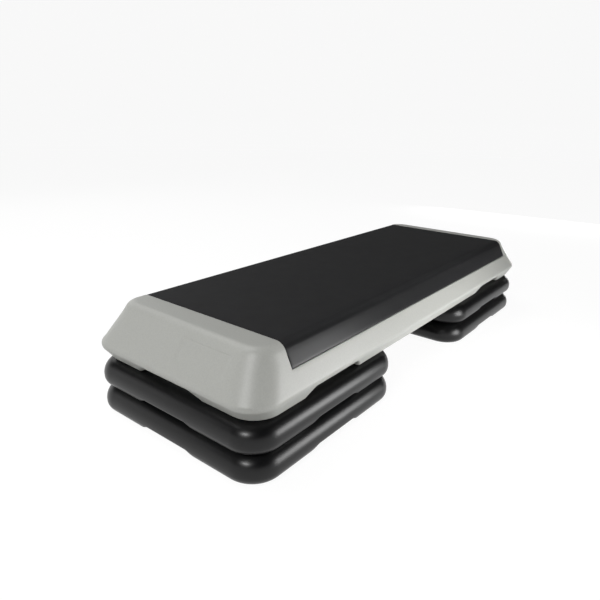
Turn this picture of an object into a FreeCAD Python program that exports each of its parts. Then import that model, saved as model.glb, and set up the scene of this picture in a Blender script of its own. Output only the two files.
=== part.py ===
# Aerobic step: a moulded platform with a bonded tread mat, standing on two stacks of two nesting risers.
# Millimetres, +Z up and +X along the platform. The origin is on the floor, under the platform's middle.

import FreeCAD
import Part
import math
import os

# Platform shell: a hollow moulding, widest at its waist, whose ends and sides lean in above and below it
platform_length = 1092.0
platform_width = 406.0
platform_height = 101.6
waist_height = 29.0
end_slope_run = 51.0
side_slope_run = 35.0
waist_corner_radius = 54.0
deck_corner_radius = 40.0
shoulder_radius = 21.0
waist_edge_radius = 10.0
under_edge_radius = 10.0
under_edge_steps = 3
waist_edge_steps = 3
platform_wall = 3.5

# Tread mat, sunk into the deck and turned down over both long shoulders
mat_length = 908.0
mat_offset = 8.0
mat_thickness = 3.0
mat_sink = 0.5
mat_drop = 38.0
mat_clearance = 0.5

# Bare label place, a shallow panel sunk into the slope of one end
label_width = 113.0
label_height = 44.0
label_depth = 0.6
label_offset = 67.0
label_drop = 19.0

# Risers: square hollow mouldings, two to a stack, whose sides are round in bands from foot to crown
riser_height = 50.8
riser_inset = 0.5
riser_corner_radius = 54.0
riser_crown_share = 0.6
riser_foot_share = 0.36
riser_crown_steps = 8
riser_foot_steps = 5
riser_wall = 3.2

# Nesting block on top of each riser, inside a flat seat, and the play and headroom of the socket that it fits
nest_seat = 70.0
nest_height = 8.0
nest_chamfer = 2.5
nest_corner_cut = 22.0
nest_clearance = 1.5
nest_headroom = 1.0

# Rubber pads in pockets under every moulding, near the corners of each riser
pad_side = 30.0
pad_corner_cut = 7.0
pad_thickness = 4.0
pad_stand = 1.5
pad_inset = 48.0
pad_clearance = 0.3
pad_sole_chamfer = 0.8

# Finger notches, drafted scoops in the lower edges
riser_notch_rise = 12.0
riser_notch_width = 104.0
platform_notch_rise = 18.5
platform_notch_width = 126.0
notch_depth = 34.0
notch_lean = 15.0

# Tack-offs, drafted pockets that join the underside of a moulding to its top wall
tack_mouth = 72.0
tack_tip = 40.0
tack_margin = 36.0
riser_tack_count = 2
deck_tack_columns = 3
deck_tack_rows = 2

# Hollows: chords to a corner, and the cut of their long edges as a share of the rounds outside
hollow_corner_steps = 2
hollow_cut_share = 0.7

# Cutting overrun, and the closeness at which two heights count as one
overrun = 5.0
tolerance = 0.001

UP = FreeCAD.Vector(0, 0, 1)
ALONG = FreeCAD.Vector(1, 0, 0)

stack_sides = {"left": -1, "right": 1}
stack_levels = ("lower", "upper")
pad_rows = {"front": -1, "back": 1}

platform_base = riser_height * len(stack_levels)
deck_top = platform_base + platform_height
waist_top = platform_base + waist_height
slope_rise = platform_height - waist_height
riser_side = platform_width - 2 * riser_inset
riser_centre = platform_length / 2 - riser_inset - riser_side / 2
riser_crown_radius = (riser_height - pad_stand) * riser_crown_share
riser_foot_radius = (riser_height - pad_stand) * riser_foot_share
nest_side = riser_side - 2 * nest_seat
tack_pitch = nest_side - 2 * tack_margin - tack_mouth
pad_offset = riser_side / 2 - pad_inset
mat_seat_depth = mat_sink + mat_thickness


def rounded_outline(reach_x, reach_y, radius, height):
    """Closed wire of a rectangle with round corners, at one height."""
    arcs = []
    for turn, (side_x, side_y) in enumerate(((1, 1), (-1, 1), (-1, -1), (1, -1))):
        centre = FreeCAD.Vector(side_x * (reach_x - radius), side_y * (reach_y - radius), height)
        arcs.append(Part.makeCircle(radius, centre, UP, 90 * turn, 90 * turn + 90))
    edges = []
    for arc, following in zip(arcs, arcs[1:] + arcs[:1]):
        edges.append(arc)
        edges.append(Part.makeLine(arc.Vertexes[-1].Point, following.Vertexes[0].Point))
    return Part.Wire(edges)


def rounded_solid(outlines):
    """Solid between rounded outlines, with ruled corners and true planes between them."""
    faces = []
    for face in Part.makeLoft(outlines, True, True).Faces:
        points = [vertex.Point for vertex in face.OuterWire.OrderedVertexes]
        plane = Part.Plane(*points[:3])
        bulge = (face.CenterOfMass - points[0]).dot(plane.Axis)
        faces.append(Part.Face(plane, face.OuterWire) if abs(bulge) < tolerance else face)
    return Part.Solid(Part.Shell(faces))


def chorded_ring(reach_x, reach_y, radius, height, steps=1):
    """Points of a rectangle whose round corners are drawn as a few chords, at one height."""
    points = []
    for turn, (side_x, side_y) in enumerate(((1, 1), (-1, 1), (-1, -1), (1, -1))):
        for step in range(steps + 1):
            angle = math.radians(90 * (turn + step / steps))
            x = side_x * (reach_x - radius) + radius * math.cos(angle)
            y = side_y * (reach_y - radius) + radius * math.sin(angle)
            points.append(FreeCAD.Vector(x, y, height))
    return points


def flat_face(points):
    return Part.Face(Part.makePolygon(points + points[:1]))


def ringed_solid(rings):
    """Solid with plane sides between rings that have as many points each."""
    faces = [flat_face(rings[0]), flat_face(rings[-1])]
    for low, high in zip(rings, rings[1:]):
        for index in range(len(low)):
            faces.append(flat_face([low[index - 1], low[index], high[index], high[index - 1]]))
    return Part.Solid(Part.Shell(faces))


def drafted_block(foot, head, height):
    """Block with plane sides between two rectangles (left, right, front, back), standing at height zero."""
    block = Part.makeWedge(
        foot[0], 0, -foot[3], -head[3], head[0],
        foot[1], height, -foot[2], -head[2], head[1],
    )
    block.rotate(FreeCAD.Vector(), ALONG, 90)
    return block


def level_edges(shape, height):
    """Edges that lie at one height all along."""
    found = []
    for edge in shape.Edges:
        box = edge.BoundBox
        if abs(box.ZMin - height) < tolerance and abs(box.ZMax - height) < tolerance:
            found.append(edge)
    return found


def moved(shape, x=0.0, y=0.0, z=0.0):
    copy = shape.copy()
    copy.translate(FreeCAD.Vector(x, y, z))
    return copy


def platform_ring(inset, height):
    """Half length, half width and corner of the leaning sides, or of the hollow inside them, at one height."""
    lean_share = abs(height - waist_top) / slope_rise
    reach_x = platform_length / 2 - inset - end_slope_run * lean_share
    reach_y = platform_width / 2 - inset - side_slope_run * lean_share
    radius = waist_corner_radius - inset - (waist_corner_radius - deck_corner_radius) * lean_share
    return reach_x, reach_y, radius, height


def edge_inset(run, height):
    """Inset of a leaning side at one height, with its round lower edge and waist."""
    lean = math.atan2(slope_rise, run)
    rise = height - platform_base - pad_stand
    offset = abs(height - waist_top)
    if rise < under_edge_radius * (1 - math.cos(lean)):
        centre = run * (waist_height - pad_stand) / slope_rise + under_edge_radius * math.tan(lean / 2)
        return centre - math.sqrt(under_edge_radius ** 2 - (under_edge_radius - rise) ** 2)
    if offset < waist_edge_radius * math.cos(lean):
        return waist_edge_radius / math.sin(lean) - math.sqrt(waist_edge_radius ** 2 - offset ** 2)
    return run * offset / slope_rise


def platform_outline(height):
    """The platform's outer outline at one height, its corners drawn in as the edges are rounded."""
    reach_x, reach_y, radius, _ = platform_ring(0, height)
    eased_x = platform_length / 2 - edge_inset(end_slope_run, height)
    eased_y = platform_width / 2 - edge_inset(side_slope_run, height)
    radius -= (reach_x - eased_x + reach_y - eased_y) / 2
    return rounded_outline(eased_x, eased_y, radius, height)


def platform_block():
    """The platform's outer form, with round shoulders, and a round lower edge and waist drawn as bands."""
    lean = math.atan2(slope_rise, side_slope_run)
    heights = []
    for step in range(under_edge_steps + 1):
        rise = under_edge_radius * (1 - math.cos(lean * step / under_edge_steps))
        heights.append(platform_base + pad_stand + rise)
    for step in range(waist_edge_steps + 1):
        turn = (math.pi / 2 - lean) * (2 * step / waist_edge_steps - 1)
        heights.append(waist_top + waist_edge_radius * math.sin(turn))
    block = rounded_solid([platform_outline(height) for height in heights + [deck_top]])
    return block.makeFillet(shoulder_radius, level_edges(block, deck_top))


def platform_hollow():
    """Room inside the platform's wall, before the pockets are kept clear."""
    base = platform_base + pad_stand + platform_wall
    top = deck_top - mat_seat_depth - platform_wall
    cut = waist_edge_radius * hollow_cut_share
    levels = (base, waist_top - cut, waist_top + cut, top)
    return ringed_solid([chorded_ring(*platform_ring(platform_wall, level), hollow_corner_steps) for level in levels])


def riser_ring(inset, height):
    reach = riser_side / 2 - inset
    return reach, reach, riser_corner_radius - inset, height


def riser_block():
    """A riser's outer form, standing on the floor, with its round foot and crown drawn as bands."""
    rings = []
    for step in range(riser_foot_steps + 1):
        angle = math.radians(90 * step / riser_foot_steps)
        height = pad_stand + riser_foot_radius * (1 - math.cos(angle))
        rings.append(riser_ring(riser_foot_radius * (1 - math.sin(angle)), height))
    for step in range(riser_crown_steps + 1):
        angle = math.radians(90 * step / riser_crown_steps)
        height = riser_height - riser_crown_radius * (1 - math.sin(angle))
        rings.append(riser_ring(riser_crown_radius * (1 - math.cos(angle)), height))
    return rounded_solid([rounded_outline(*ring) for ring in rings])


def riser_hollow():
    """Room inside a riser's wall, before the pockets are kept clear."""
    base = pad_stand + riser_wall
    top = riser_height - riser_wall
    foot_cut = (riser_foot_radius - riser_wall) * hollow_cut_share
    crown_cut = (riser_crown_radius - riser_wall) * hollow_cut_share
    steps = ((foot_cut, base), (0, base + foot_cut), (0, top - crown_cut), (crown_cut, top))
    rings = [riser_ring(riser_wall + cut, level) for cut, level in steps]
    return ringed_solid([chorded_ring(*ring, hollow_corner_steps) for ring in rings])


def nest(grow, height):
    """Square block that centres one moulding on the next, standing at height zero."""
    reach = nest_side / 2 + grow
    return ringed_solid([chorded_ring(reach, reach, nest_corner_cut, level) for level in (0, height)])


def nest_block():
    reach = nest_side / 2
    top = riser_height + nest_height
    steps = ((0, riser_height), (0, top - nest_chamfer), (nest_chamfer, top))
    return ringed_solid([chorded_ring(reach - cut, reach - cut, nest_corner_cut, level) for cut, level in steps])


def nest_socket(wall):
    """Room for a nesting block, grown by the wall where it keeps the hollow away."""
    return nest(nest_clearance + wall, nest_height + nest_headroom + wall)


def finger_notch(reach, width, rise, wall):
    """Drafted scoop in the lower edge that faces -Y, at a distance from the middle."""
    outer = -reach - overrun
    inner = notch_depth - reach + wall
    half = width / 2 + wall
    foot = (-half - notch_lean, half + notch_lean, outer, inner + notch_lean)
    head = (-half, half, outer, inner)
    return drafted_block(foot, head, pad_stand + rise + wall)


def turned(shape, angle):
    copy = shape.copy()
    copy.rotate(FreeCAD.Vector(), UP, angle)
    return copy


def tack_off(wall, tip_height):
    """Drafted square pocket rising from height zero."""
    mouth = tack_mouth / 2 + wall
    tip = tack_tip / 2 + wall
    return drafted_block((-mouth, mouth, -mouth, mouth), (-tip, tip, -tip, tip), tip_height + wall)


def pad():
    """Rubber pad with its sole at height zero."""
    reach = pad_side / 2
    steps = ((pad_sole_chamfer, 0), (0, pad_sole_chamfer), (0, pad_thickness))
    return ringed_solid([chorded_ring(reach - cut, reach - cut, pad_corner_cut, level) for cut, level in steps])


def pad_pocket(wall):
    """Pocket that a pad is bonded into."""
    reach = pad_side / 2 + pad_clearance + wall
    return ringed_solid([chorded_ring(reach, reach, pad_corner_cut, level) for level in (0, pad_thickness + wall)])


def pad_places(centre_x):
    """Places of the four pads over or under one riser, by name."""
    outward = 1 if centre_x >= 0 else -1
    places = {}
    for row, side_y in pad_rows.items():
        places[row + "_outer"] = (centre_x + outward * pad_offset, side_y * pad_offset)
        places[row + "_inner"] = (centre_x - outward * pad_offset, side_y * pad_offset)
    return places


def centred_steps(count, pitch):
    return [(index - (count - 1) / 2) * pitch for index in range(count)]


def riser_pockets(wall):
    """Everything that opens a riser from below, grown by the wall where it keeps the hollow away."""
    tools = [nest_socket(wall)]
    notch = finger_notch(riser_side / 2, riser_notch_width, riser_notch_rise, wall)
    tools += [turned(notch, angle) for angle in (0, 90, 180, 270)]
    tools += [moved(pad_pocket(wall), x, y) for x, y in pad_places(0).values()]
    tack = tack_off(wall, riser_height + nest_height - 2 * riser_wall)
    steps = centred_steps(riser_tack_count, tack_pitch)
    tools += [moved(tack, x, y) for x in steps for y in steps]
    return tools


def riser_shell():
    outside = riser_block().fuse(nest_block())
    hollow = riser_hollow().fuse(moved(nest(-riser_wall, nest_height), z=riser_height - riser_wall))
    hollow = hollow.cut(riser_pockets(riser_wall))
    return outside.cut(riser_pockets(0)).cut(hollow)


def deck_band(depth, height, drop):
    """Section of a layer that follows the deck and both shoulders, between two depths below the shell's face."""
    lean = math.atan2(slope_rise, side_slope_run)
    corner_y = platform_width / 2 - side_slope_run
    centre_y = corner_y - shoulder_radius * math.tan(lean / 2)
    centre_z = deck_top - shoulder_radius
    edge_y = corner_y + side_slope_run * drop / slope_rise

    def chain(sink):
        radius = shoulder_radius - sink
        flats = {}
        edges = {}
        for side in (-1, 1):
            bends = []
            for angle in (0, lean / 2, lean):
                y = side * (centre_y + radius * math.sin(angle))
                bends.append(FreeCAD.Vector(0, y, centre_z + radius * math.cos(angle)))
            hem_y = side * (edge_y - sink * math.sin(lean))
            hem = FreeCAD.Vector(0, hem_y, deck_top - drop - sink * math.cos(lean))
            flats[side] = bends[0]
            edges[side] = (Part.Arc(*bends).toShape(), Part.makeLine(bends[-1], hem), hem)
        flat = Part.makeLine(flats[-1], flats[1])
        return [edges[-1][1], edges[-1][0], flat, edges[1][0], edges[1][1]], edges[-1][2], edges[1][2]

    low, low_front, low_back = chain(depth)
    high, high_front, high_back = chain(height)
    hems = [Part.makeLine(low_front, high_front), Part.makeLine(low_back, high_back)]
    return Part.Face(Part.Wire(Part.__sortEdges__(low + high + hems)))


def deck_layer(depth, height, drop, length):
    return moved(deck_band(depth, height, drop), x=mat_offset - length / 2).extrude(ALONG * length)


def mat_seat(wall):
    """Room for the mat in the deck, grown by the wall where it keeps the hollow away."""
    play = mat_clearance + wall
    return deck_layer(mat_seat_depth + wall, -overrun, mat_drop + play, mat_length + 2 * play)


def label_place():
    """Shallow panel in the slope of the -X end, beside the middle."""
    slope = FreeCAD.Vector(-end_slope_run, 0, -slope_rise).normalize()
    outward = FreeCAD.Vector(-slope_rise, 0, end_slope_run).normalize()
    corner = FreeCAD.Vector(end_slope_run - platform_length / 2, -label_offset - label_width / 2, deck_top)
    start = corner + slope * label_drop + outward * overrun
    across = FreeCAD.Vector(0, label_width, 0)
    down = slope * label_height
    panel = Part.makePolygon([start, start + across, start + across + down, start + down, start])
    return Part.Face(panel).extrude(outward * -(overrun + label_depth))


def platform_pockets(wall):
    """Everything that opens the platform from below, grown by the wall where it keeps the hollow away."""
    tools = []
    side_notch = finger_notch(platform_width / 2, platform_notch_width, platform_notch_rise, wall)
    end_notch = finger_notch(platform_length / 2, platform_notch_width, platform_notch_rise, wall)
    tack = tack_off(wall, platform_height - mat_seat_depth - 2 * platform_wall)
    riser_steps = centred_steps(riser_tack_count, tack_pitch)
    for side in stack_sides.values():
        centre_x = side * riser_centre
        tools.append(moved(nest_socket(wall), centre_x))
        tools.append(turned(end_notch, 90 * side))
        tools += [moved(turned(side_notch, angle), centre_x) for angle in (0, 180)]
        tools += [moved(pad_pocket(wall), x, y) for x, y in pad_places(centre_x).values()]
        tools += [moved(tack, centre_x + x, y) for x in riser_steps for y in riser_steps]
    for x in centred_steps(deck_tack_columns, tack_pitch):
        tools += [moved(tack, x, y) for y in centred_steps(deck_tack_rows, tack_pitch)]
    return [moved(tool, z=platform_base) for tool in tools]


def platform_shell():
    hollow = platform_hollow().cut(platform_pockets(platform_wall) + [mat_seat(platform_wall)])
    return platform_block().cut(platform_pockets(0) + [mat_seat(0), label_place()]).cut(hollow)


def build():
    """All the pieces in place, by name."""
    pieces = {
        "platform_shell": platform_shell(),
        "tread_mat": deck_layer(mat_seat_depth, mat_sink, mat_drop, mat_length),
    }
    riser = riser_shell()
    sole = pad()
    for stack, side in stack_sides.items():
        centre_x = side * riser_centre
        for place, (x, y) in pad_places(centre_x).items():
            pieces[f"platform_pad_{stack}_{place}"] = moved(sole, x, y, platform_base)
        for storey, level in enumerate(stack_levels):
            base = storey * riser_height
            name = f"{stack}_{level}_riser"
            pieces[name + "_shell"] = moved(riser, centre_x, z=base)
            for place, (x, y) in pad_places(centre_x).items():
                pieces[f"{name}_pad_{place}"] = moved(sole, x, y, base)
    return pieces


os.makedirs("parts", exist_ok=True)
for node, shape in build().items():
    shape.exportStep(f"parts/{node}.step")
    print(node, round(shape.Volume), "mm3", len(shape.Solids), "solid")
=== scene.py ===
import bpy
import bmesh
import math
from mathutils import Matrix, Vector


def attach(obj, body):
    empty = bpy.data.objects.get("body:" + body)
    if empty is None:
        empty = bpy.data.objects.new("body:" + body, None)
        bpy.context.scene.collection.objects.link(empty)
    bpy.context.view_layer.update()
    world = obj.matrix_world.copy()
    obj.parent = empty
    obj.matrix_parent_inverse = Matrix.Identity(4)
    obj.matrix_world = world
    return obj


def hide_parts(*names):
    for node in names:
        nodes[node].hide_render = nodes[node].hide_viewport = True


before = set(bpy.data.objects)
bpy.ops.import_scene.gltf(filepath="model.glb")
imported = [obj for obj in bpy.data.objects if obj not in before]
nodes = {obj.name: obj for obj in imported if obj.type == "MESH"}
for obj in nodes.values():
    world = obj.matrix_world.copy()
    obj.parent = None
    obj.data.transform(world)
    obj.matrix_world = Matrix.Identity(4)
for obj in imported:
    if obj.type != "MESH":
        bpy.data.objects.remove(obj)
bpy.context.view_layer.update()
scene = bpy.context.scene
mm = 0.001  # every length in this script is in real millimetres
cornerSigns = ((1, 1), (-1, 1), (-1, -1), (1, -1))  # sides of the four corners, in the order of a ring


def span(start, end, steps):  # evenly spread values, both ends in
    return [start + (end - start) * step / steps for step in range(steps + 1)]


def easeStep(share):  # soft step from 0 to 1
    share = min(max(share, 0.0), 1.0)
    return share * share * (3 - 2 * share)


def mirrored(values):  # the same stops on both sides of the middle
    return sorted({round(v, 4) for value in values for v in (value, -value)})


def outward(azimuth, elevation):  # direction from the object, azimuth in degrees from the front towards +X
    az, el = math.radians(azimuth), math.radians(elevation)
    return Vector((math.sin(az) * math.cos(el), -math.cos(az) * math.cos(el), math.sin(el)))


def ringPlan(alongX, alongY, cornerSteps):  # one place for each point of a round-cornered ring
    plan = []
    sides = ((1, 0, alongY), (0, 1, alongX[::-1]), (-1, 0, alongY[::-1]), (0, -1, alongX))
    for quarter, (sideX, sideY, stops) in enumerate(sides):
        plan += [(sideX, sideY, stop, None) for stop in stops]
        for angle in span(90 * quarter, 90 * quarter + 90, cornerSteps):
            plan.append((*cornerSigns[quarter], 0, math.radians(angle)))
    return plan


def ringPoints(plan, halfX, halfY, row, dent):
    endInset, endZ, sideInset, sideZ, radius = row[:5]  # at the ends, at the sides, corner round
    lastColumn = max(stop for sideX, sideY, stop, angle in plan if sideY and angle is None)
    roundX = min(radius, halfX - endInset - lastColumn)
    points = []
    for sideX, sideY, stop, angle in plan:
        if angle is not None:
            x = sideX * (halfX - endInset - roundX) + roundX * math.cos(angle)
            y = sideY * (halfY - sideInset - radius) + radius * math.sin(angle)
            points.append((x, y, endZ * math.cos(angle) ** 2 + sideZ * math.sin(angle) ** 2))
        elif sideX:
            inset, z = dent(sideX, sideY, stop, endInset, endZ, row)
            points.append((sideX * (halfX - inset), stop, z))
        else:
            inset, z = dent(sideX, sideY, stop, sideInset, sideZ, row)
            points.append((stop, sideY * (halfY - inset), z))
    return points


def bandFaces(rings, count):  # quads between one ring and the next
    faces = []
    for here in range(0, (rings - 1) * count, count):
        there = here + count
        for i in range(count):
            j = (i + 1) % count
            faces.append((here + i, there + i, there + j, here + j))
    return faces


def ringBody(plan, halfX, halfY, rows, dent):  # points and side faces of a body, ring by ring from the top
    points = [point for row in rows for point in ringPoints(plan, halfX, halfY, row, dent)]
    return points, bandFaces(len(rows), len(plan))


def endCaps(count, total):  # one face over the first ring and one over the last
    return [tuple(range(count)), tuple(reversed(range(total - count, total)))]


def wallFaces(count):  # quads from a ring up to another of as many points
    return [(i, (i + 1) % count, count + (i + 1) % count, count + i) for i in range(count)]


def notchShare(along, notch, centres):  # 1 in a finger notch, 0 beside it
    ramp = notch["outer"] - notch["inner"]
    return max(easeStep((notch["outer"] - abs(along - centre)) / ramp) for centre in centres)


def notchStops(notch):  # stops across one ramp of a notch and a little past both its ends
    return span(notch["inner"] - notch["before"], notch["outer"] + notch["past"], notch["steps"])


def scooped(inset, z, base, notch, share):  # raises a lower edge into a soft finger notch
    ceiling = base + notch["rise"] * share * (1 - easeStep((inset - notch["depth"]) / notch["fade"]))
    edge = min(notch["edge"], ceiling - base)
    if z >= ceiling + edge:
        return inset, z
    if z > ceiling:
        lean = (ceiling + edge - z) / edge
        return inset + edge * (1 - math.sqrt(1 - lean * lean)), z
    return inset + edge, ceiling


def meshPiece(name, points, faces):
    mesh = bpy.data.meshes.new(name)
    mesh.from_pydata([Vector(point) * mm for point in points], [], faces)
    piece = bpy.data.objects.new(name, mesh)
    scene.collection.objects.link(piece)
    return piece


def prism(lowRing, highRing):  # closed block between two rings of as many points
    count = len(lowRing)
    ends = [tuple(reversed(range(count))), tuple(range(count, 2 * count))]
    return lowRing + highRing, ends + wallFaces(count)


def joined(blocks):  # several closed blocks as one list of points and faces
    points, faces = [], []
    for blockPoints, blockFaces in blocks:
        faces += [tuple(i + len(points) for i in face) for face in blockFaces]
        points += blockPoints
    return points, faces


def cutAway(piece, *blockSets):  # takes closed blocks out of a piece
    cutters = [meshPiece("cutter", *joined(blocks)) for blocks in blockSets]
    for cutter in cutters:
        cut = piece.modifiers.new("cut", "BOOLEAN")
        cut.operation = "DIFFERENCE"
        cut.solver = "EXACT"
        cut.object = cutter
    bpy.context.view_layer.update()
    before = piece.data
    evaluated = piece.evaluated_get(bpy.context.evaluated_depsgraph_get())
    piece.data = bpy.data.meshes.new_from_object(evaluated)
    piece.modifiers.clear()
    bpy.data.meshes.remove(before)
    for cutter in cutters:
        bpy.data.meshes.remove(cutter.data)  # takes the cutter along


def settle(piece, sharpAngle=38):  # outward faces, smooth shading, crisp edges only at sharper turns
    shape = bmesh.new()
    shape.from_mesh(piece.data)
    bmesh.ops.recalc_face_normals(shape, faces=shape.faces)
    for face in shape.faces:
        face.smooth = True
    for edge in shape.edges:
        edge.smooth = edge.calc_face_angle(0) < math.radians(sharpAngle)
    shape.to_mesh(piece.data)
    shape.free()


def squareRing(half, corner, z, centre, steps=6):
    points = []
    for quarter, (sideX, sideY) in enumerate(cornerSigns):
        for angle in span(90 * quarter, 90 * quarter + 90, steps):
            x = centre[0] + sideX * (half - corner) + corner * math.cos(math.radians(angle))
            y = centre[1] + sideY * (half - corner) + corner * math.sin(math.radians(angle))
            points.append((x, y, z))
    return points


cutStart = 6  # cutters begin this far below the face that they open


def tackBlock(tack, centre, base):  # drafted pocket up from a base, wider at its mouth
    slope = (tack["mouth"] - tack["tip"]) / (tack["top"] - base)
    low = squareRing(tack["mouth"] + slope * cutStart, tack["corner"], base - cutStart, centre)
    return prism(low, squareRing(tack["tip"], tack["corner"], tack["top"], centre))


# Risers, square blow-moulded blocks: round crown and foot, a nesting block on top and its socket below
riser = {
    "half": 202.5, "height": 50.8, "stand": 1.5, "corner": 54.0, "crown": 29.58, "foot": 17.75,
    "nestHalf": 132.5, "nestHeight": 8.0, "nestCorner": 22.0, "nestRound": 3.0,
    "socketHalf": 134.0, "socketTop": 9.0, "lip": 1.5, "centre": 343.0,
    "notch": {
        "inner": 47.0, "outer": 76.0, "rise": 12.0, "depth": 32.0, "fade": 14.0, "edge": 4.0,
        "before": 2, "past": 1, "steps": 13,
    },
    "tack": {"mouth": 36.0, "tip": 20.0, "corner": 6.0, "step": 60.5, "top": 52.4},
    "loops": {  # edge loops that carry the shape: their places, corner rounds and numbers
        "capInset": 16, "capCorner": 12, "shelfStep": 6, "shelfCorner": 25,
        "crownStep": 5, "crownCorner": 24, "wallStep": 1.2,
        "rimStep": 5, "rimGuard": 6, "ceilingInset": 12, "ceilingCorner": 14,
        "nestSteps": 5, "footSteps": 14, "cornerSteps": 14,
        "crownAngles": (90, 84, 78, 71, 64, 57, 50, 43, 36, 29, 22, 16, 11, 7.5, 5, 3, 1.5, 0),
        "soleInsets": (20, 24, 28, 31, 33, 35, 37, 39, 41, 43, 45, 48, 55),
        "notchMiddle": [0, 12, 24, 35], "notchBeside": [80, 92, 100],
    },
}
platformBase = 2 * riser["height"]


def riserRows():  # from the top of the nesting block round the side to the ceiling of the socket
    loops, lip, nestCorner = riser["loops"], riser["lip"], riser["nestCorner"]
    height, stand, corner = riser["height"], riser["stand"], riser["corner"]
    nestInset = riser["half"] - riser["nestHalf"]
    nestTop = height + riser["nestHeight"]
    socketInset = riser["half"] - riser["socketHalf"]
    rows = [(nestInset + loops["capInset"], nestTop, loops["capCorner"])]
    for angle in span(0, 90, loops["nestSteps"]):
        turn = math.radians(angle)
        inset = nestInset + riser["nestRound"] * (1 - math.sin(turn))
        rows.append((inset, nestTop - riser["nestRound"] * (1 - math.cos(turn)), nestCorner))
    rows.append((nestInset, height + lip, nestCorner))
    rows.append((nestInset - lip, height, nestCorner + lip))
    rows.append((nestInset - loops["shelfStep"], height, loops["shelfCorner"]))
    rows.append((riser["crown"] + loops["crownStep"], height, loops["crownCorner"]))
    for angle in loops["crownAngles"]:
        turn = math.radians(angle)
        inset = riser["crown"] * (1 - math.cos(turn))
        rows.append((inset, height - riser["crown"] * (1 - math.sin(turn)), corner - inset))
    rows.append((0, stand + riser["foot"] + loops["wallStep"], corner))
    for angle in span(90, 0, loops["footSteps"]):
        turn = math.radians(angle)
        inset = riser["foot"] * (1 - math.sin(turn))
        rows.append((inset, stand + riser["foot"] * (1 - math.cos(turn)), corner - inset))
    for inset in loops["soleInsets"]:
        rows.append((inset, stand, max(corner - inset, loops["shelfCorner"])))
    rows.append((socketInset - loops["rimStep"], stand, loops["shelfCorner"]))
    rows.append((socketInset - lip, stand, nestCorner + 2 * lip))
    rows.append((socketInset, stand + lip, nestCorner + lip))
    rows.append((socketInset, riser["socketTop"], nestCorner + lip))
    rows.append((socketInset + loops["ceilingInset"], riser["socketTop"], loops["ceilingCorner"]))
    return [(inset, z, inset, z, radius) for inset, z, radius in rows]


def riserDent(sideX, sideY, along, inset, z, row):
    share = notchShare(along, riser["notch"], (0,))
    if share == 0 or z > riser["height"] / 2:
        return inset, z
    if inset > riser["half"] - riser["socketHalf"] - riser["loops"]["rimGuard"]:
        return inset, z
    return scooped(inset, z, riser["stand"], riser["notch"], share)


def tackGrid(tack, centre):  # four pockets round a centre
    step = tack["step"]
    return [(centre + x, y) for x in (-step, step) for y in (-step, step)]


riserLoops = riser["loops"]
riserStops = mirrored(riserLoops["notchMiddle"] + notchStops(riser["notch"]) + riserLoops["notchBeside"])
riserPlan = ringPlan(riserStops, riserStops, riserLoops["cornerSteps"])
riserPoints, riserFaces = ringBody(riserPlan, riser["half"], riser["half"], riserRows(), riserDent)
riserFaces += endCaps(len(riserPlan), len(riserPoints))
riserModel = meshPiece("riser_model", riserPoints, riserFaces)
cutAway(riserModel, [tackBlock(riser["tack"], place, 0) for place in tackGrid(riser["tack"], 0)])
settle(riserModel)
riserShells = []
for stack, side in (("left", -1), ("right", 1)):
    for level, storey in (("lower", 0), ("upper", 1)):
        shell = bpy.data.objects.new(f"{stack}_{level}_riser", riserModel.data.copy())
        shell.location = (side * riser["centre"] * mm, 0, storey * riser["height"] * mm)
        scene.collection.objects.link(shell)
        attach(shell, "lower_risers" if level == "lower" else f"{stack}_upper_riser")
        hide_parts(f"{stack}_{level}_riser_shell")
        riserShells.append(shell)
bpy.data.meshes.remove(riserModel.data)
print("risers", len(riserShells))

# Platform, one blow-moulded deck: widest at its waist, leaning in above and below, a sunk seat for the mat
deck = {
    "halfX": 546.0, "halfY": 203.0, "top": 203.2, "waist": 130.6, "base": platformBase + riser["stand"],
    "endRun": 51.0, "sideRun": 35.0, "shoulder": 21.0, "waistRound": 10.0, "underRound": 10.0,
    "waistCorner": 54.0, "deckCorner": 40.0, "socketTop": platformBase + riser["socketTop"],
    "notch": {
        "inner": 56.0, "outer": 82.0, "rise": 18.5, "depth": 32.0, "fade": 14.0, "edge": 4.0,
        "before": 2, "past": 1, "steps": 14,
    },
    "tack": {**riser["tack"], "top": platformBase + 89.6},
    "seat": {
        "middle": 8.0, "halfX": 454.5, "drop": 38.5, "depth": 3.5, "lip": 2.0,
        "lipStops": [0, 0.15, 0.4, 0.8, 1.3, 2.0], "guard": 0.2, "inside": 3,
    },
    "label": {
        "halfY": 56.5, "height": 44.0, "middleY": -67.0, "drop": 19.0, "depth": 0.9,
        "crisp": 1.6, "soft": 9.0, "guard": 0.4, "steps": 4,
    },
    "loops": {  # edge loops: their heights, places and numbers
        "topInset": 6, "topCorner": 4, "soleCorner": 6,
        "shoulderSteps": 12, "waistSteps": 10, "underSteps": 9, "cornerSteps": 16,
        "slopeHeights": [186, 180, 174, 168, 158, 150, 142],
        "underHeights": (125.4, 124.6, 123.9, 123.3, 122.7, 122.1, 121.5, 120, 118, 115, 112),
        "soleInsets": (2, 5, 8, 11, 13, 15, 17, 19, 21, 23, 25, 27, 30),
        "notchMiddle": [0, 12, 24, 36, 48], "bayReach": 240, "baySteps": 8,
        "endReach": 54, "endSteps": 5, "endBeside": [96, 106, 116],
    },
}
seat, label = deck["seat"], deck["label"]
deckRise = deck["top"] - deck["waist"]
endLean = math.atan2(deckRise, deck["endRun"])
sideLean = math.atan2(deckRise, deck["sideRun"])
inSeat, belowSeat = -50, 50  # for rows that lie well inside the seat's lower edge or well below it


def slopeSpan(lean):  # heights where a slope leaves the shoulder and where it meets the waist
    start = deck["top"] - deck["shoulder"] * (1 - math.cos(lean))
    return start, deck["waist"] + deck["waistRound"] * math.cos(lean)


endStart, endStop = slopeSpan(endLean)
sideStart, sideStop = slopeSpan(sideLean)


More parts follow.
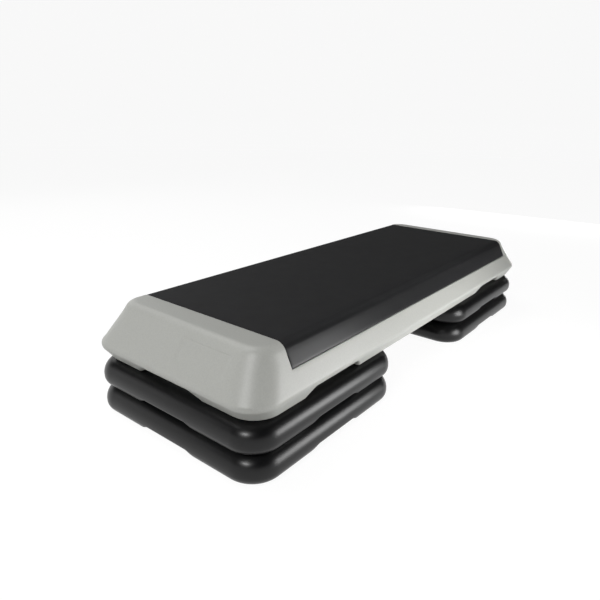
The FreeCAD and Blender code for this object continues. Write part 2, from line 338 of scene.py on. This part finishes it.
def leanIn(run, height):  # part of a slope's run at a height above or below the waist
    return run * height / deckRise


def cornerAt(height):  # corner radius at a height above or below the waist
    return deck["waistCorner"] - leanIn(deck["waistCorner"] - deck["deckCorner"], height)


def rounded(flat, radius, turn):  # inset and rise or drop of a round edge after a turn
    return flat - radius * math.sin(turn), radius * (1 - math.cos(turn))


def labelStops(edge, inward, ramp):  # stops across one edge of the label panel
    ramped = [edge + inward * offset for offset in span(0, ramp, label["steps"])]
    return [edge - inward * label["guard"]] + ramped + [edge + inward * (ramp + label["guard"])]


def labelSink(y, z):  # a shallow panel: crisp along its top edge, fading out at the others
    reach = (deck["top"] - z) / math.sin(endLean) - label["drop"]
    fade = min(label["halfY"] - abs(y - label["middleY"]), label["height"] - reach)
    return label["depth"] * min(easeStep(reach / label["crisp"]), easeStep(fade / label["soft"]))


def shoulderRows():  # deck rows also hold the side's tilt and how far below the seat's lower edge they lie
    loops, top, shoulder = deck["loops"], deck["top"], deck["shoulder"]
    corner = deck["deckCorner"] - shoulder * math.tan(sideLean / 2)
    startCorner = cornerAt(sideStart - deck["waist"])
    endFlat = deck["endRun"] + shoulder * math.tan(endLean / 2)
    sideFlat = deck["sideRun"] + shoulder * math.tan(sideLean / 2)
    inner = loops["topInset"]
    rows = [(endFlat + inner, top, sideFlat + inner, top, corner - loops["topCorner"], 0, inSeat)]
    for share in span(0, 1, loops["shoulderSteps"]):
        endInset, endDrop = rounded(endFlat, shoulder, endLean * share)
        sideInset, sideDrop = rounded(sideFlat, shoulder, sideLean * share)
        radius = corner + (startCorner - corner) * share
        rows.append((endInset, top - endDrop, sideInset, top - sideDrop, radius, sideLean * share, inSeat))
    return rows


def slopeRows():
    waist = deck["waist"]
    seatEdge = deck["top"] - seat["drop"]
    heights = deck["loops"]["slopeHeights"] + [seatEdge + seat["guard"]]
    heights += [seatEdge - offset for offset in seat["lipStops"]]
    shares = [(sideStart - height) / (sideStart - sideStop) for height in heights]
    reaches = labelStops(label["drop"], 1, label["crisp"])
    reaches += labelStops(label["drop"] + label["height"], -1, label["soft"])
    for reach in reaches:
        shares.append((endStart - deck["top"] + reach * math.sin(endLean)) / (endStart - endStop))
    rows = []
    for share in sorted(shares):
        endZ = endStart + (endStop - endStart) * share
        sideZ = sideStart + (sideStop - sideStart) * share
        endInset, sideInset = leanIn(deck["endRun"], endZ - waist), leanIn(deck["sideRun"], sideZ - waist)
        rows.append((endInset, endZ, sideInset, sideZ, cornerAt(sideZ - waist), sideLean, seatEdge - sideZ))
    return rows


def waistRows():
    waist, radius = deck["waist"], deck["waistRound"]
    rows = []
    for share in span(1, -1, deck["loops"]["waistSteps"]):
        endTurn = (math.pi / 2 - endLean) * share
        sideTurn = (math.pi / 2 - sideLean) * share
        endInset = radius * (1 / math.sin(endLean) - math.cos(endTurn))
        sideInset = radius * (1 / math.sin(sideLean) - math.cos(sideTurn))
        endZ, sideZ = waist + radius * math.sin(endTurn), waist + radius * math.sin(sideTurn)
        corner = deck["waistCorner"] - (endInset + sideInset) / 2
        rows.append((endInset, endZ, sideInset, sideZ, corner, 0, belowSeat))
    return rows


def underRows():  # the slope below the waist, the round lower edge and the sole
    loops, base, radius = deck["loops"], deck["base"], deck["underRound"]
    rows = []
    for z in loops["underHeights"]:
        drop = deck["waist"] - z
        endInset, sideInset = leanIn(deck["endRun"], drop), leanIn(deck["sideRun"], drop)
        rows.append((endInset, z, sideInset, z, cornerAt(drop), 0, belowSeat))
    lowDrop = deck["waist"] - base
    endFoot = leanIn(deck["endRun"], lowDrop) + radius * math.tan(endLean / 2)
    sideFoot = leanIn(deck["sideRun"], lowDrop) + radius * math.tan(sideLean / 2)
    footCorner = cornerAt(lowDrop)
    for share in span(1, 0, loops["underSteps"]):
        endInset, endRise = rounded(endFoot, radius, endLean * share)
        sideInset, sideRise = rounded(sideFoot, radius, sideLean * share)
        corner = footCorner - radius * math.tan(sideLean / 2) * (1 - share)
        rows.append((endInset, base + endRise, sideInset, base + sideRise, corner, 0, belowSeat))
    for inset in loops["soleInsets"]:
        corner = footCorner - loops["soleCorner"] - inset / 2
        rows.append((endFoot + inset, base, sideFoot + inset, base, corner, 0, belowSeat))
    return rows


def seatDepth(along, below):  # how far the seat sinks at a distance from its edges
    past = max(abs(along - seat["middle"]) - seat["halfX"], below)
    if past < 0:
        return seat["depth"]
    if past >= seat["lip"]:
        return 0
    lean = (seat["lip"] - past) / seat["lip"]
    return seat["lip"] * (1 - math.sqrt(1 - lean * lean))


def deckDent(sideX, sideY, along, inset, z, row):
    tilt, below = row[5:7]
    if sideY and below < seat["lip"]:
        sink = seatDepth(along, below)
        return inset + sink * math.sin(tilt), z - sink * math.cos(tilt)
    if sideX < 0 and z > deck["waist"]:
        sink = labelSink(along, z)
        return inset + sink * math.sin(endLean), z - sink * math.cos(endLean)
    if z < deck["waist"]:
        centres = (-riser["centre"], riser["centre"]) if sideY else (0,)
        share = notchShare(along, deck["notch"], centres)
        if share > 0:
            return scooped(inset, z, deck["base"], deck["notch"], share)
    return inset, z


def deckStops():  # stops along the sides and along the ends
    loops, ramp = deck["loops"], notchStops(deck["notch"])
    sideStops = span(0, loops["bayReach"], loops["baySteps"])
    for stop in loops["notchMiddle"] + ramp:
        sideStops += [riser["centre"] - stop, riser["centre"] + stop]
    for edge in (seat["halfX"] - seat["middle"], seat["halfX"] + seat["middle"]):
        sideStops += [edge + offset for offset in [-seat["inside"], -seat["guard"]] + seat["lipStops"]]
    labelLow = abs(label["middleY"]) - label["halfY"]
    labelHigh = abs(label["middleY"]) + label["halfY"]
    endStops = span(0, loops["endReach"], loops["endSteps"]) + ramp + loops["endBeside"]
    endStops += labelStops(labelLow, 1, label["soft"]) + labelStops(labelHigh, -1, label["soft"])
    return mirrored(sideStops), mirrored(endStops)


def closeAcross(plan, first):  # strips from the front side to the back one, and one face at each end
    back = [i for i, place in enumerate(plan) if place[1] == 1 and place[3] is None]
    front = [i for i, place in enumerate(plan) if place[1] == -1 and place[3] is None][::-1]
    faces = []
    for i in range(len(back) - 1):
        faces.append((first + back[i], first + back[i + 1], first + front[i + 1], first + front[i]))
    count = len(plan)
    faces.append(tuple(first + i for i in range(back[-1], front[-1] + 1)))
    faces.append(tuple(first + i % count for i in range(front[0], count + back[0] + 1)))
    return faces


deckPlan = ringPlan(*deckStops(), deck["loops"]["cornerSteps"])
deckRows = shoulderRows() + slopeRows() + waistRows() + underRows()
deckPoints, deckFaces = ringBody(deckPlan, deck["halfX"], deck["halfY"], deckRows, deckDent)
deckFaces += closeAcross(deckPlan, 0) + closeAcross(deckPlan, len(deckPoints) - len(deckPlan))
platform = meshPiece("platform", deckPoints, deckFaces)
tackStep = deck["tack"]["step"]
tackPlaces = tackGrid(deck["tack"], -riser["centre"]) + tackGrid(deck["tack"], riser["centre"])
tackPlaces += [(x, y) for x in (-2 * tackStep, 0, 2 * tackStep) for y in (-tackStep, tackStep)]
socketCorner = riser["nestCorner"] + riser["lip"]
sockets = []
for side in (-1, 1):
    centre = (side * riser["centre"], 0)
    mouth = squareRing(riser["socketHalf"], socketCorner, platformBase - cutStart, centre)
    sockets.append(prism(mouth, squareRing(riser["socketHalf"], socketCorner, deck["socketTop"], centre)))
cutAway(platform, sockets, [tackBlock(deck["tack"], place, platformBase) for place in tackPlaces])
settle(platform)
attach(platform, "platform")
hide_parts("platform_shell")
print("platform", len(platform.data.polygons))

# Tread mat, one rubber sheet in the seat, turned down over both long shoulders
mat = {
    "middle": seat["middle"], "halfX": 454.0, "drop": 38.0, "sink": 0.5, "thickness": 3.0, "round": 0.8,
    "columns": 40, "endStep": 6, "endSteps": 4, "hemSteps": 3, "bendSteps": 12, "acrossSteps": 10,
    "flankShares": (0.3, 0.6, 0.85, 1),
}


def matChain(sink, trim):  # line across the deck, sunk under its skin and trimmed at both hems
    sideFlat = deck["halfY"] - deck["sideRun"] - deck["shoulder"] * math.tan(sideLean / 2)
    reach = deck["shoulder"] - sink
    middleZ = deck["top"] - deck["shoulder"]
    half = []
    for turn in span(0, sideLean, mat["bendSteps"]):
        half.append((sideFlat + reach * math.sin(turn), middleZ + reach * math.cos(turn)))
    drop = mat["drop"] - trim
    hemY = deck["halfY"] - deck["sideRun"] + leanIn(deck["sideRun"], drop) - sink * math.sin(sideLean)
    hemZ = deck["top"] - drop - sink * math.cos(sideLean)
    bendY, bendZ = half[-1]
    for share in mat["flankShares"]:
        half.append((bendY + (hemY - bendY) * share, bendZ + (hemZ - bendZ) * share))
    flat = [(y, deck["top"] - sink) for y in span(-sideFlat, sideFlat, mat["acrossSteps"])[1:-1]]
    return [(-y, z) for y, z in half[::-1]] + flat + half


def matSection(shrink):  # closed section of the sheet, drawn in by a small amount where it ends
    top = mat["sink"] + shrink
    edge = mat["round"] * math.sin(sideLean)
    section = matChain(top, edge + shrink)
    for angle in span(0, 90, mat["hemSteps"])[1:]:
        turn = math.radians(angle)
        sink = mat["round"] * (1 - math.cos(turn))
        trim = edge * (1 - math.sin(turn))
        rim = matChain(top + sink, trim + shrink)
        section = [rim[0]] + section + [rim[-1]]
    return section + matChain(mat["sink"] + mat["thickness"], shrink)[::-1]


matEnd = []
for angle in span(0, 90, mat["endSteps"]):
    turn = math.radians(angle)
    matEnd.append((mat["halfX"] - mat["round"] * (1 - math.cos(turn)), mat["round"] * (1 - math.sin(turn))))
flatReach = mat["halfX"] - mat["endStep"]
sections = [(-x, shrink) for x, shrink in matEnd]
sections += [(x, 0) for x in span(-flatReach, flatReach, mat["columns"])]
sections += matEnd[::-1]
matPoints = [(mat["middle"] + x, y, z) for x, shrink in sections for y, z in matSection(shrink)]
sectionCount = len(matSection(0))
matFaces = bandFaces(len(sections), sectionCount) + endCaps(sectionCount, len(matPoints))
treadMat = meshPiece("tread_sheet", matPoints, matFaces)
settle(treadMat)
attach(treadMat, "platform")
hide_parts("tread_mat")
print("mat", len(treadMat.data.polygons))


def srgb(code):
    values = [int(code[i:i + 2], 16) / 255 for i in (1, 3, 5)]
    return [v / 12.92 if v <= 0.04045 else ((v + 0.055) / 1.055) ** 2.4 for v in values] + [1.0]


def addNode(tree, kind, settings=None, links=None):
    node = tree.nodes.new("ShaderNode" + kind)
    for name, value in (settings or {}).items():
        if isinstance(name, str) and hasattr(node, name):
            setattr(node, name, value)
        else:
            node.inputs[name].default_value = value
    for name, source in (links or {}).items():
        tree.links.new(source, node.inputs[name])
    return node


def newMaterial(name, settings):
    material = bpy.data.materials.new(name)
    material.use_nodes = True
    shader = material.node_tree.nodes["Principled BSDF"]
    for key, value in settings.items():
        shader.inputs[key].default_value = value
    return material, material.node_tree, shader


def perMetre(size):  # noise scale whose cells are about that many millimetres across
    return 1 / (size * mm)


def blowMoulded(name, look):
    material, tree, shader = newMaterial(name, look["shader"])
    place = addNode(tree, "TexCoord").outputs["Object"]
    mottle = {"Scale": perMetre(look["mottle"]), "Detail": 4.0, "Roughness": 0.7}
    speckle = addNode(tree, "TexNoise", mottle, {"Vector": place}).outputs["Fac"]
    tint = addNode(tree, "ValToRGB", links={"Fac": speckle})
    for stop, position, colour in zip(tint.color_ramp.elements, look["spread"], look["tint"]):
        stop.position = position
        stop.color = srgb(colour)
    smooth, rough = look["roughness"]
    gloss = addNode(tree, "MapRange", {"To Min": smooth, "To Max": rough}, {"Value": speckle})
    peel = addNode(tree, "TexNoise", {"Scale": perMetre(look["peel"]), "Detail": 2.0}, {"Vector": place})
    relief = {"Strength": look["bump"], "Distance": look["peelHeight"] * mm}
    bump = addNode(tree, "Bump", relief, {"Height": peel.outputs["Fac"]})
    tree.links.new(tint.outputs["Color"], shader.inputs["Base Color"])
    tree.links.new(gloss.outputs["Result"], shader.inputs["Roughness"])
    tree.links.new(bump.outputs["Normal"], shader.inputs["Normal"])
    return material


def calendered(name, look):
    material, tree, shader = newMaterial(name, look["shader"])
    place = addNode(tree, "TexCoord").outputs["Object"]
    height = addNode(tree, "SeparateXYZ", links={"Vector": place}).outputs["Z"]
    low, high = look["bend"]
    bend = {"interpolation_type": "SMOOTHSTEP", "From Min": low * mm, "From Max": high * mm}
    onTread = addNode(tree, "MapRange", bend, {"Value": height}).outputs["Result"]  # 0 on the flanks
    satin = {"To Min": look["flankRoughness"], "To Max": look["treadRoughness"]}
    gloss = addNode(tree, "MapRange", satin, {"Value": onTread})
    cloud = addNode(tree, "TexNoise", {"Scale": perMetre(look["cloud"]), "Detail": 5.0}, {"Vector": place})
    tint = addNode(tree, "ValToRGB", links={"Fac": cloud.outputs["Fac"]})
    for stop, colour in zip(tint.color_ramp.elements, look["tint"]):
        stop.color = srgb(colour)
    grit = {"feature": "SMOOTH_F1", "Scale": perMetre(look["pebble"])}
    pebbles = addNode(tree, "TexVoronoi", grit, {"Vector": place})
    lift = addNode(tree, "Math", {"operation": "MULTIPLY"}, {0: pebbles.outputs["Distance"], 1: onTread})
    relief = {"invert": True, "Strength": look["bump"], "Distance": look["pebbleHeight"] * mm}
    bump = addNode(tree, "Bump", relief, {"Height": lift.outputs["Value"]})
    tree.links.new(tint.outputs["Color"], shader.inputs["Base Color"])
    tree.links.new(gloss.outputs["Result"], shader.inputs["Roughness"])
    tree.links.new(bump.outputs["Normal"], shader.inputs["Normal"])
    return material


def pressMoulded(name, look):
    material, tree, shader = newMaterial(name, look["shader"])
    place = addNode(tree, "TexCoord").outputs["Object"]
    grain = addNode(tree, "TexNoise", {"Scale": perMetre(look["grain"]), "Detail": 4.0}, {"Vector": place})
    tint = addNode(tree, "ValToRGB", links={"Fac": grain.outputs["Fac"]})
    for stop, colour in zip(tint.color_ramp.elements, look["tint"]):
        stop.color = srgb(colour)
    smooth, rough = look["roughness"]
    gloss = addNode(tree, "MapRange", {"To Min": smooth, "To Max": rough}, {"Value": grain.outputs["Fac"]})
    tree.links.new(tint.outputs["Color"], shader.inputs["Base Color"])
    tree.links.new(gloss.outputs["Result"], shader.inputs["Roughness"])
    return material


# HDPE, blow moulded grey: satin skin with a fine orange peel and a faint mottle of the regrind in it
greyPlastic = blowMoulded("hdpe_grey_blow_moulded", {
    "shader": {"IOR": 1.5, "Specular IOR Level": 0.5}, "roughness": (0.37, 0.47),
    "tint": ("#B7B8B3", "#BEBFBA"), "spread": (0.35, 0.65),
    "mottle": 2.6, "peel": 1.1, "peelHeight": 0.03, "bump": 0.5,
})

# HDPE, blow moulded black: deep black satin with the same orange peel
blackPlastic = blowMoulded("hdpe_black_blow_moulded", {
    "shader": {"IOR": 1.5, "Specular IOR Level": 0.36}, "roughness": (0.28, 0.36),
    "tint": ("#0C0C0D", "#121213"), "spread": (0.0, 1.0),
    "mottle": 3.0, "peel": 1.3, "peelHeight": 0.04, "bump": 0.4,
})

# Rubber sheet, calendered black: fine pebbles on the tread, plain satin where it turns down at the shoulders
matRubber = calendered("rubber_black_calendered", {
    "shader": {"IOR": 1.5, "Specular IOR Level": 0.17}, "flankRoughness": 0.3, "treadRoughness": 0.72,
    "tint": ("#262627", "#2E2E2F"), "cloud": 30.0,
    "pebble": 2.4, "pebbleHeight": 0.25, "bump": 0.6, "bend": (196.0, 200.5),
})

# Rubber, compression moulded black: matt pads with a dusty grain
padRubber = pressMoulded("rubber_black_moulded", {
    "shader": {"IOR": 1.5, "Specular IOR Level": 0.4}, "roughness": (0.65, 0.85),
    "tint": ("#161616", "#232323"), "grain": 1.5,
})

for shell in riserShells:
    shell.data.materials.append(blackPlastic)
platform.data.materials.append(greyPlastic)
treadMat.data.materials.append(matRubber)
for name, node in nodes.items():
    if "_pad_" in name:
        node.data.materials.clear()
        node.data.materials.append(padRubber)
print("materials")

# Camera, with its focal length in pixels of a square picture
view = {
    "azimuth": -51.704, "elevation": 19.272, "roll": 1.216, "place": (-997.19, -632.29, 520.87),
    "focal": 533.26, "pixels": 600, "sensor": 36, "near": 10, "far": 100000,
}
back = outward(view["azimuth"], view["elevation"])
right = Vector((0, 0, 1)).cross(back).normalized()
up = back.cross(right)
roll = math.radians(view["roll"])
across = math.cos(roll) * right + math.sin(roll) * up
upright = math.cos(roll) * up - math.sin(roll) * right
camera = bpy.data.objects.new("camera", bpy.data.cameras.new("camera"))
camera.data.sensor_width = view["sensor"]
camera.data.lens = view["sensor"] * view["focal"] / view["pixels"]
camera.data.clip_start = view["near"] * mm
camera.data.clip_end = view["far"] * mm
facing = Matrix((across, upright, back)).transposed().to_4x4()
camera.matrix_world = Matrix.Translation(Vector(view["place"]) * mm) @ facing
scene.collection.objects.link(camera)
scene.camera = camera
print("camera")

# Studio: a pale paper floor and wall, six soft boxes, and a ring of black cloth that keeps the gloss deep
studio = {
    "paper": "#DCDCDB", "glow": 0.82, "white": 1.14, "room": 0.06, "reach": 7000, "wall": 6000, "steps": 96,
}
flag = {"cloth": "#050505", "reach": 3200, "low": 950, "high": 4500, "keySide": (26, 90)}
paper = bpy.data.materials.new("paper_white_matt")  # lifts to white in the picture and keeps a light shadow
paper.use_nodes = True
tree = paper.node_tree
tree.nodes.clear()
rays = addNode(tree, "LightPath").outputs
direct = addNode(tree, "Math", {"operation": "ADD"}, {0: rays["Is Camera Ray"], 1: rays["Is Glossy Ray"]})
seen = addNode(tree, "Math", {"operation": "ADD", "use_clamp": True},
               {0: direct.outputs["Value"], 1: rays["Is Transmission Ray"]})
glow = addNode(tree, "Math", {"operation": "MULTIPLY", 1: studio["glow"]}, {0: seen.outputs["Value"]})
sheet = addNode(tree, "BsdfDiffuse", {"Color": srgb(studio["paper"])})
white = addNode(tree, "Emission", {"Color": srgb("#FFFFFF"), "Strength": studio["white"]})
mixed = addNode(tree, "MixShader", links={
    0: glow.outputs["Value"], 1: sheet.outputs["BSDF"], 2: white.outputs["Emission"],
})
addNode(tree, "OutputMaterial", links={"Surface": mixed.outputs["Shader"]})
clothLook = {"Base Color": srgb(flag["cloth"]), "Roughness": 1.0, "Specular IOR Level": 0.0}
cloth = newMaterial("cloth_black_matt", clothLook)[0]  # black without shine, dark where it is mirrored


def stagePiece(name, points, faces, material):
    piece = meshPiece(name, points, faces)
    piece.data.materials.append(material)
    return piece


turns = span(0, 2 * math.pi, studio["steps"])[:-1]
walls = wallFaces(len(turns))
paperPoints, flagPoints = [], []
for z in (0, studio["wall"]):
    paperPoints += [(studio["reach"] * math.sin(a), -studio["reach"] * math.cos(a), z) for a in turns]
keyStart, keyEnd = (math.radians(edge) for edge in flag["keySide"])
for level in ("low", "high"):
    for a in turns:  # reaches the floor on the side where the key box stands
        z = 0 if level == "low" and keyStart <= a <= keyEnd else flag[level]
        flagPoints.append((flag["reach"] * math.sin(a), -flag["reach"] * math.cos(a), z))
stagePiece("paper_sweep", paperPoints, [tuple(range(len(turns)))] + walls, paper)
stagePiece("flag_ring", flagPoints, walls, cloth).visible_camera = False

world = bpy.data.worlds.new("studio")
scene.world = world
world.use_nodes = True
background = world.node_tree.nodes["Background"]
background.inputs["Color"].default_value = srgb("#FFFFFF")
background.inputs["Strength"].default_value = studio["room"]

softBoxes = {  # azimuth and elevation in degrees, distance, width, height, watts, the place aimed at
    "key_box": (37, 8, 830, 480, 320, 5.1, (-350, -190, 60)),
    "end_box": (-78, 41, 2500, 700, 240, 28, (-530, -170, 80)),
    "side_box": (-142, 25, 2500, 900, 800, 2.5, (-540, 0, 70)),
    "top_box": (-160, 65, 2200, 1600, 1200, 19, (-350, -50, 150)),
    "back_box": (175, 30, 2600, 1600, 1000, 7, (0, 190, 100)),
    "far_box": (97, 0, 1600, 1100, 150, 5, (545, 0, 100)),  # lower than the tread, which it leaves dark
}
for name, (azimuth, elevation, distance, width, tall, watts, aim) in softBoxes.items():
    lamp = bpy.data.lights.new(name, "AREA")
    lamp.shape = "RECTANGLE"
    lamp.size = width * mm
    lamp.size_y = tall * mm
    lamp.energy = watts
    holder = bpy.data.objects.new(name, lamp)
    reach = outward(azimuth, elevation) * distance
    holder.location = (Vector(aim) + reach) * mm
    holder.rotation_euler = (-reach).to_track_quat("-Z", "Y").to_euler()
    holder.visible_camera = False
    scene.collection.objects.link(holder)
scene.view_settings.view_transform = "Standard"
print("light")
